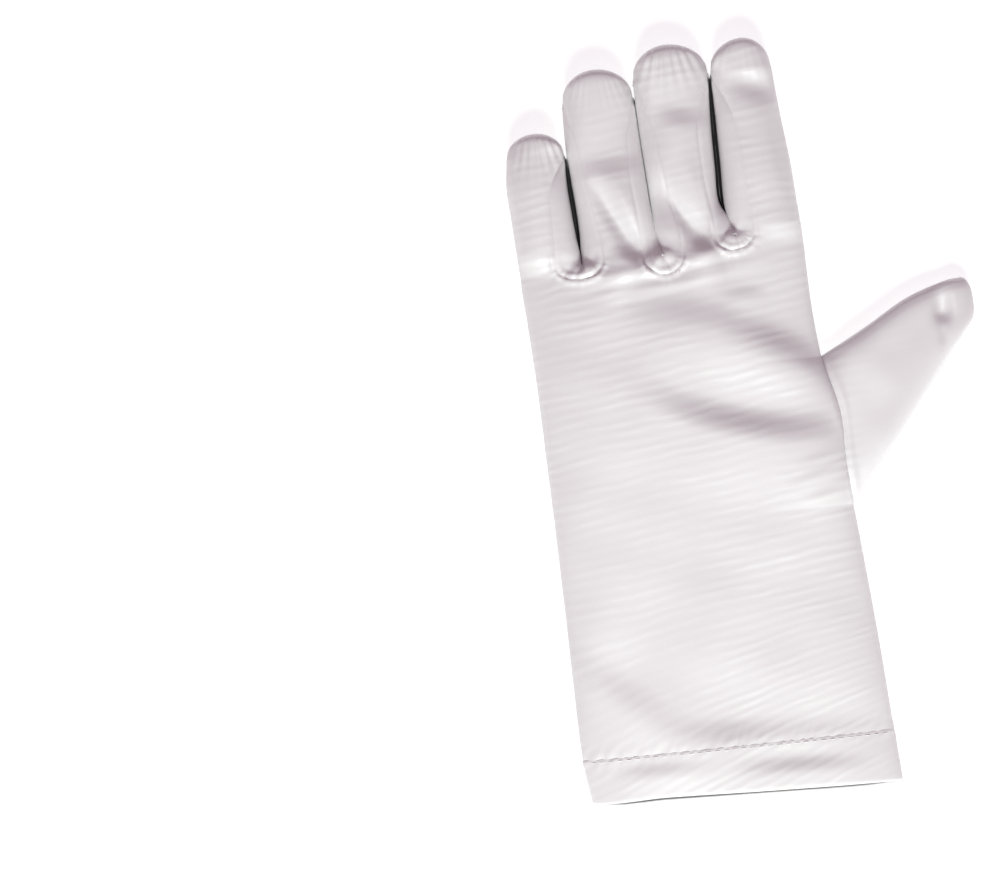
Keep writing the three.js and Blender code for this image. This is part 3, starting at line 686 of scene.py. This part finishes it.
def side_strip(n, material):
    """The strip between two fingers: up one finger, round the notch and up the next."""
    left, right = strip_half(n, False), strip_half(n, True)
    x, y, z, shade = [np.vstack([a[::-1], b[1:]]) for a, b in zip(left, right)]
    above = z > EDGE_Z
    puffs = 0.16 * slow_waves(y, x + z, 5.0, 20 + n) * np.exp(-((y - NOTCHES[n]["y"]) / 8) ** 2)
    rise = (seam_relief(x, y, 0.9) + puffs) * above
    names = ("little_ring", "ring_middle", "middle_index")
    return cloth_piece(f"glove_strip_{names[n]}", [patch(x, y, z, True, rise, shade)], material,
                       f"fourchette_{names[n]}")


def thumb_half(back):
    """The thumb's upper or lower wall: rings from its seam to the tip, each from side to side."""
    ring = np.sin(np.linspace(0, 1, THUMB_RINGS + 1) * math.pi / 2)[:, None]
    v = -np.cos(np.pi * np.arange(THUMB_ROWS + 1) / THUMB_ROWS)[None, :]
    share = (v + 1) / 2
    at = {name: column(THUMB, name, ring, "s") for name in THUMB}
    x = lerp(at["lower_x"], at["upper_x"], share)
    y = lerp(at["lower_y"], at["upper_y"], share)
    base = hand_right(back, lerp(THUMB_LOW, THUMB_HIGH, share))[0]
    straight = lerp(THUMB["lower_x"][0], THUMB["upper_x"][0], share)
    x = x + (base - straight) * (1 - ring) ** 3
    x = x + THUMB_BULGE * arch(v, FINGER_FULLNESS) * ring ** 6
    cap = np.sqrt(1 - np.clip((ring - THUMB_CAP) / (1 - THUMB_CAP), 0, 1) ** 2)
    top = lerp(at["edge"], at["crown"], thumb_arch(v, ring))
    bottom = at["edge"] * roll(v, THUMB_FLAT)
    z = at["edge"] + ((top if back else bottom) - at["edge"]) * cap
    return x, y, z


# The dent in the thumb's end, from which a fall runs down
THUMB_DENT = {"x": 73.6, "y": 139.4, "radius": 2.6, "depth": 2.4}


def thumb_relief(x, y, z):
    """The thumb's dent near its tip, its seam along the upper side, and slow unevenness."""
    dent = THUMB_DENT
    up = y - dent["y"]
    away = np.hypot(x - dent["x"], up * np.where(up > 0, 0.4, 0.8)) / dent["radius"]
    amount = -dent["depth"] * np.exp(-away ** 2)
    streak = np.abs(x - dent["x"] - 0.1 * (y - dent["y"])) / 1.5
    amount += -0.6 * np.exp(-streak ** 2) * np.exp(-((y - 133) / 3.5) ** 2)
    upper_y = np.interp(x, THUMB["upper_x"], THUMB["upper_y"])
    amount += -0.07 * np.exp(-((upper_y - y - 2.2) / 0.6) ** 2)
    return amount + 0.12 * slow_waves(x, y, 16, 8)


def thumb(material):
    """The thumb: both walls join at their sides and at the tip into one closed cone, with a soft
    welt beside the seam that sets it into the hand."""
    upper, lower = thumb_half(True), thumb_half(False)
    welt = 0.35 * np.exp(-((upper[0] - upper[0][:1] - 1.5) / 0.9) ** 2)
    rise = (thumb_relief(*upper) + welt) * smooth((upper[2] - EDGE_Z) / 1.5)
    patches = [patch(*upper, True, rise), patch(*lower, False)]
    return cloth_piece("glove_thumb", patches, material, "thumb")


def cuff_edge(back, x):
    """Where the cuff ends: the edge slants, and the palm's side is a little longer."""
    slant = -0.035 * x + 0.1 - 1.0 * smooth((-25 - x) / 20)
    if back:
        return slant
    return slant - CUFF_STEP * arch(x / 47.5, 8)


def hem_place(s, on_back, up, depth):
    """A place in the hem as x, y and z: s from side to side, up from the cuff's edge to the stitch
    line, and depth in from the outside."""
    share = (s + 1) / 2
    widest = lerp(column(HAND, "left", 0), column(HAND, "right", 0), share)
    y = lerp(np.where(on_back, cuff_edge(True, widest), cuff_edge(False, widest)), HEM_Y, up)
    out = hem_ripple(widest, y) * on_back - depth
    x = lerp(column(HAND, "left", y) - out, column(HAND, "right", y) + out, share)
    top = lerp(EDGE_Z, column(HAND, "crown", y) + out, arch(s, HAND_FULLNESS))
    lift = (hem_lift(x, y) + loose_cloth(x, y)) * (1 - s ** HAND_EASE)
    return x, y, np.where(on_back, top + lift, lerp(depth, EDGE_Z, roll(s, HAND_FLAT)))


def hem(material):
    """The turned-up hem: a closed band round the cuff. Its profile runs from the stitch line down
    the outside, round the folded edge, and up the inside. Painted shade darkens the inside of the
    cuff, and a painted shadow line lies on the palm's lip just beyond the back's rim."""
    half = HEM_COLUMNS // 2
    s = np.sin(np.arange(-half, half + 1) / half * math.pi / 2)
    around = np.concatenate([s, s[-2:0:-1]])[None, :]
    on_back = np.concatenate([np.ones(s.size, bool), np.zeros(s.size - 2, bool)])[None, :]
    turned, tucked = 0.06, [[1.07, 0.7]]
    outside = np.stack([np.linspace(1, turned, HEM_ROWS), np.zeros(HEM_ROWS)], -1)
    outside = np.concatenate([tucked, outside])
    angle = np.linspace(0, math.pi, HEM_TURNS + 2)[1:-1]
    fold = np.stack([turned - turned * np.sin(angle), (1 - np.cos(angle)) / 2], -1)
    inner = np.linspace(0, 1, HEM_INNER_ROWS) ** 1.7
    inside = np.stack([turned + (1.07 - turned) * inner, np.ones(HEM_INNER_ROWS)], -1)
    profile = np.concatenate([outside, fold, inside])
    up, depth = profile[:, 0][:, None], profile[:, 1][:, None]
    place = hem_place(around, on_back, up, depth * HEM_CLOTH)
    # Painted shadow: a thin line on the palm's lip just past the back's rim, as if cast by it, and
    # painted shade over the inside of both lips
    rim = CUFF_STEP / (HEM_Y + CUFF_STEP)
    line = smooth((up - 0.062) / 0.015) * (1 - 0.5 * smooth((up - rim - 0.02) / 0.1))
    shade = np.where(on_back, 0.4 * smooth((up - 0.1) / 0.2), 0.85 * line) * (depth == 1)
    ring = [np.vstack([a, a[:1]]) for a in (*place, shade)]
    x, y, z, shade = [np.hstack([a, a[:, :1]]) for a in ring]
    return cloth_piece("glove_hem", [patch(x, y, z, True, 0.0, shade)], material, "cuff_hem",
                       0)


# The hem's row of stitches: how far apart, how long, how thick, and how far below the hem's top
STITCH = {"pitch": 2.6, "length": 1.5, "radius": 0.12, "below": 0.9}


def hem_stitches(material):
    """The row of stitches along the hem's top on the back: each is a closed capsule, a half
    circle's profile swept round the line between two holes, and lies half sunk in the cloth."""
    step = STITCH["pitch"] / HALF_CUFF
    starts = np.arange(-0.95, 0.95, step)
    ends = starts + step * STITCH["length"] / STITCH["pitch"]
    up = 1 - STITCH["below"] / HEM_Y
    first, last = [np.stack(hem_place(s, True, up, 0.0), -1) for s in (starts, ends)]
    turn, along = np.linspace(0, 2 * math.pi, 9)[None, :], np.linspace(0, math.pi, 9)[:, None]
    patches = []
    for a, b in zip(first, last):
        way = (b - a) / np.linalg.norm(b - a)
        side = np.cross((0, 0, 1), way)
        over = np.cross(way, side)
        middle = a + (b - a) * ((1 - np.cos(along)) / 2)[..., None] + 0.05 * over
        width = STITCH["radius"] * np.sqrt(np.sin(along))[..., None]
        ring = middle + width * (np.cos(turn)[..., None] * side + np.sin(turn)[..., None] * over)
        patches.append(patch(*np.moveaxis(ring, -1, 0), False))
    return cloth_piece("glove_hem_stitches", patches, material, "cuff_hem", 0)


def hem_ripple(x, y):
    """The hem's relief: a groove between two soft welts, and small slanting puckers across it."""
    wander = x + 0.8 * np.sin(0.37 * x) + 0.5 * np.sin(0.9 * x + 1)
    slant = 0.6 * (y - HEM_Y)
    near = np.exp(-((y - HEM_Y) / 3.6) ** 2)
    puckers = 0.11 * np.sin(2 * math.pi * (wander - slant) / 3.6) * near
    groove = -0.03 * np.exp(-((y - HEM_Y) / 1.2) ** 2)
    welt = 0.07 * np.exp(-((np.abs(y - HEM_Y) - 1.3) / 1.0) ** 2)
    return puckers + groove + welt


def hem_lift(x, y):
    """Slow unevenness of the cuff's open edge."""
    return 0.35 * slow_waves(x, y * 0.3, 34, 12) * smooth((HEM_Y - y) / 14)


def value_node(nodes, kind, **inputs):
    """A shader node with some of its inputs set."""
    node = nodes.new(kind)
    for name, value in inputs.items():
        node.inputs[name.replace("_", " ")].default_value = value
    return node


def satin_weave():
    """A node group for satin: long floats across the hand, a fine rib that leans more towards the
    cuff, soft uneven tone, and gathers as the sine of a fan's phase. It puts out the tone, the
    roughness and a height in mm."""
    group = bpy.data.node_groups.new("Satin weave", "ShaderNodeTree")
    face = group.interface
    for name, value in (("Rib", 0.02), ("Gloss", 0.4), ("Fan", 0.0), ("Gather", 0.0)):
        face.new_socket(name, in_out="INPUT", socket_type="NodeSocketFloat").default_value = value
    for name in ("Tone", "Roughness", "Height"):
        face.new_socket(name, in_out="OUTPUT", socket_type="NodeSocketFloat")
    nodes, links = group.nodes, group.links
    given, result = nodes.new("NodeGroupInput"), nodes.new("NodeGroupOutput")
    place = nodes.new("ShaderNodeTexCoord").outputs["Object"]

    def work(operation, *values):
        node = nodes.new("ShaderNodeMath")
        node.operation = operation
        for socket, value in zip(node.inputs, values):
            if isinstance(value, (int, float)):
                socket.default_value = value
            else:
                links.new(value, socket)
        return node.outputs[0]

    def noise(vector, scale, detail):
        node = value_node(nodes, "ShaderNodeTexNoise", Scale=scale, Detail=detail, Roughness=0.55)
        links.new(vector, node.inputs["Vector"])
        return node.outputs["Fac"]

    rib = value_node(nodes, "ShaderNodeTexWave", Scale=104.0, Distortion=2.8, Detail=1.5,
                     Detail_Scale=0.6)
    rib.bands_direction = "Y"
    spot = nodes.new("ShaderNodeSeparateXYZ")
    links.new(place, spot.inputs[0])
    slope = value_node(nodes, "ShaderNodeMapRange", From_Min=-0.02, From_Max=-0.09, To_Min=0.13,
                       To_Max=0.42)
    slope.interpolation_type = "SMOOTHSTEP"
    links.new(spot.outputs["Y"], slope.inputs["Value"])
    lean = work("MULTIPLY", spot.outputs["X"], slope.outputs["Result"])
    level = work("SUBTRACT", spot.outputs["Y"], lean)
    leaning = nodes.new("ShaderNodeCombineXYZ")
    for axis, value in (("X", spot.outputs["X"]), ("Y", level), ("Z", spot.outputs["Z"])):
        links.new(value, leaning.inputs[axis])
    links.new(leaning.outputs[0], rib.inputs["Vector"])
    stretched = nodes.new("ShaderNodeMapping")
    stretched.inputs["Scale"].default_value = (700, 3800, 700)
    links.new(place, stretched.inputs["Vector"])
    floats = noise(stretched.outputs["Vector"], 1.0, 2.0)
    patches = noise(place, 38.0, 3.0)
    drawn = nodes.new("ShaderNodeMapping")
    drawn.inputs["Scale"].default_value = (75, 240, 75)
    links.new(leaning.outputs[0], drawn.inputs["Vector"])
    strokes = work("MULTIPLY_ADD", noise(drawn.outputs["Vector"], 1.0, 1.0), 2.4, -0.7)
    calm = value_node(nodes, "ShaderNodeMapRange", From_Min=0.042, From_Max=0.052, To_Min=1.0,
                      To_Max=0.2)
    links.new(spot.outputs["X"], calm.inputs["Value"])
    strokes = work("MINIMUM", work("MAXIMUM", strokes, 0.25), 1.0)
    strokes = work("MULTIPLY", strokes, calm.outputs["Result"])
    uneven = work("MULTIPLY", work("MULTIPLY_ADD", patches, 2.4, -0.4), strokes)
    rib_height = work("MULTIPLY", rib.outputs["Fac"], given.outputs["Rib"])
    rib_height = work("MULTIPLY", rib_height, uneven)
    gather_height = work("MULTIPLY", work("SINE", given.outputs["Fan"]), given.outputs["Gather"])
    fine = work("MULTIPLY_ADD", floats, 0.008, work("ADD", rib_height, gather_height))
    links.new(fine, result.inputs["Height"])
    tone = work("MULTIPLY_ADD", rib_height, 6.0, work("MULTIPLY", patches, 0.9))
    links.new(tone, result.inputs["Tone"])
    roughness = work("MULTIPLY_ADD", floats, 0.10, given.outputs["Gloss"])
    links.new(roughness, result.inputs["Roughness"])
    return group


def satin(name, weave, pale, deep, rib, gloss, gathered=False, slit=False):
    """A white satin: two close tones mixed by the weave's tone, soft gloss and fine relief. Where
    slit is set, the shade attribute takes the colour down to a painted shade, which stands in for
    the shadow between two fingers and inside the cuff."""
    material = bpy.data.materials.new(name)
    material.use_nodes = True
    nodes, links = material.node_tree.nodes, material.node_tree.links
    shader = nodes["Principled BSDF"]
    cloth = nodes.new("ShaderNodeGroup")
    cloth.node_tree = weave
    cloth.inputs["Rib"].default_value = rib
    cloth.inputs["Gloss"].default_value = gloss

    def attribute(key):
        node = nodes.new("ShaderNodeAttribute")
        node.attribute_name = key
        return node.outputs["Fac"]

    def blend(share, first, second):
        node = nodes.new("ShaderNodeMix")
        node.data_type = "RGBA"
        for name, value in (("Factor", share), ("A", first), ("B", second)):
            if isinstance(value, tuple):
                node.inputs[name].default_value = (*value, 1)
            else:
                links.new(value, node.inputs[name])
        return node.outputs["Result"]

    if gathered:
        links.new(attribute("fan"), cloth.inputs["Fan"])
        links.new(attribute("gather"), cloth.inputs["Gather"])
    colour = blend(cloth.outputs["Tone"], deep, pale)
    if slit:
        # Painted shade: the colour is taken down towards a near-black where the shade attribute
        # says so
        colour = blend(attribute("shade"), colour, PAINTED_SHADE_COLOUR)
    relief = value_node(nodes, "ShaderNodeBump", Strength=1.0, Distance=0.001)
    links.new(colour, shader.inputs["Base Color"])
    links.new(cloth.outputs["Roughness"], shader.inputs["Roughness"])
    links.new(cloth.outputs["Height"], relief.inputs["Height"])
    links.new(relief.outputs["Normal"], shader.inputs["Normal"])
    shader.inputs["Sheen Weight"].default_value = 0.1
    shader.inputs["Sheen Roughness"].default_value = 0.4
    shader.inputs["Specular IOR Level"].default_value = 0.75
    shader.inputs["Anisotropic"].default_value = 0.3
    material.diffuse_color = (*pale, 1)
    return material


# The two close tones of the satin, and the painted shade in a slit and inside the cuff
PALE, DEEP = (0.795, 0.80, 0.79), (0.725, 0.712, 0.715)
PAINTED_SHADE_COLOUR = (0.012, 0.011, 0.012)

# The picture's frame in pixels, where the cuff's middle stands in it, and its scale
PICTURE = {"width": 1001, "height": 871}
CUFF_PIXEL = (750, 791)
MM_PER_PIXEL = 0.305
TILT = math.radians(6)  # the glove leans this much to the left in the picture
LENS = 180.0
SENSOR = 36.0

# Watts of the two soft boxes, colour and strength of the room's light, and the table's glow
KEY_POWER, TOP_POWER = 46.5, 4
ROOM, ROOM_LIGHT = (1.0, 0.64, 0.84), 0.27
TABLE_GLOW = 0.73
TABLE_REACH = 3.0  # metres from its middle to its edges


def camera():
    """Straight overhead, so far off that the long lens takes in the picture's width there."""
    across = (PICTURE["width"] / 2 - CUFF_PIXEL[0]) * MM_PER_PIXEL
    up = (CUFF_PIXEL[1] - PICTURE["height"] / 2) * MM_PER_PIXEL
    x = across * math.cos(TILT) + up * math.sin(TILT) - ORIGIN[0]
    y = -across * math.sin(TILT) + up * math.cos(TILT) - ORIGIN[1]
    width = PICTURE["width"] * MM_PER_PIXEL / 1000
    lens = bpy.data.cameras.new("camera")
    lens.lens = LENS
    lens.sensor_width = SENSOR
    lens.clip_start = 0.05
    eye = bpy.data.objects.new("camera", lens)
    eye.location = (x / 1000, y / 1000, EDGE_Z / 1000 + width * LENS / SENSOR)
    eye.rotation_euler = (0, 0, -TILT)
    bpy.context.scene.collection.objects.link(eye)
    bpy.context.scene.camera = eye


def area_light(name, place, target, size, power, colour):
    """A soft box at a place, turned to face a target."""
    lamp = bpy.data.lights.new(name, "AREA")
    lamp.shape = "RECTANGLE"
    lamp.size, lamp.size_y = size
    lamp.energy = power
    lamp.color = colour
    holder = bpy.data.objects.new(name, lamp)
    away = np.array(place) - np.array(target)
    away = away / np.linalg.norm(away)
    side = np.cross((0, 1, 0), away)
    side = side / np.linalg.norm(side)
    up = np.cross(away, side)
    turn = Matrix([[side[i], up[i], away[i], place[i]] for i in range(3)] + [[0, 0, 0, 1]])
    holder.matrix_world = turn
    bpy.context.scene.collection.objects.link(holder)


def studio():
    """A pale table lit from within, as for catalogue pictures, a soft key light from the cuff's
    side, a weaker light overhead, and a pale room."""
    material = bpy.data.materials.new("pale table")
    material.use_nodes = True
    shader = material.node_tree.nodes["Principled BSDF"]
    shader.inputs["Base Color"].default_value = (0.5, 0.5, 0.5, 1)
    shader.inputs["Roughness"].default_value = 0.9
    shader.inputs["Emission Color"].default_value = (1, 1, 1, 1)
    shader.inputs["Emission Strength"].default_value = TABLE_GLOW
    mesh = bpy.data.meshes.new("table")
    corners = np.array([(-1, -1, 0), (1, -1, 0), (1, 1, 0), (-1, 1, 0)]) * TABLE_REACH
    mesh.from_pydata(corners.tolist(), [], [(0, 1, 2, 3)])
    mesh.materials.append(material)
    floor = bpy.data.objects.new("table", mesh)
    bpy.context.scene.collection.objects.link(floor)
    area_light("key", (-0.05, -1.5, 1.4), (0, 0, 0), (0.9, 0.6), KEY_POWER, (0.925, 1.0, 0.955))
    area_light("top", (-0.2, -0.1, 2.0), (0, 0, 0), (0.8, 0.8), TOP_POWER, (1.0, 0.99, 0.99))
    world = bpy.data.worlds.new("room")
    world.use_nodes = True
    sky = world.node_tree.nodes["Background"]
    sky.inputs["Color"].default_value = (*ROOM, 1)
    sky.inputs["Strength"].default_value = ROOM_LIGHT
    bpy.context.scene.world = world
    bpy.context.scene.view_settings.view_transform = "Standard"


camera()
studio()

WEAVE = satin_weave()
SATIN = satin("satin", WEAVE, PALE, DEEP, rib=0.065, gloss=0.36, gathered=True)
STRIP_SATIN = satin("satin strip", WEAVE, PALE, DEEP, rib=0.02, gloss=0.36, slit=True)
HEM_SATIN = satin("satin hem", WEAVE, PALE, DEEP, rib=0.065, gloss=0.36, slit=True)

panel(True, SATIN)
panel(False, SATIN)
for strip in range(3):
    side_strip(strip, STRIP_SATIN)
thumb(SATIN)
hem(HEM_SATIN)
hem_stitches(HEM_SATIN)
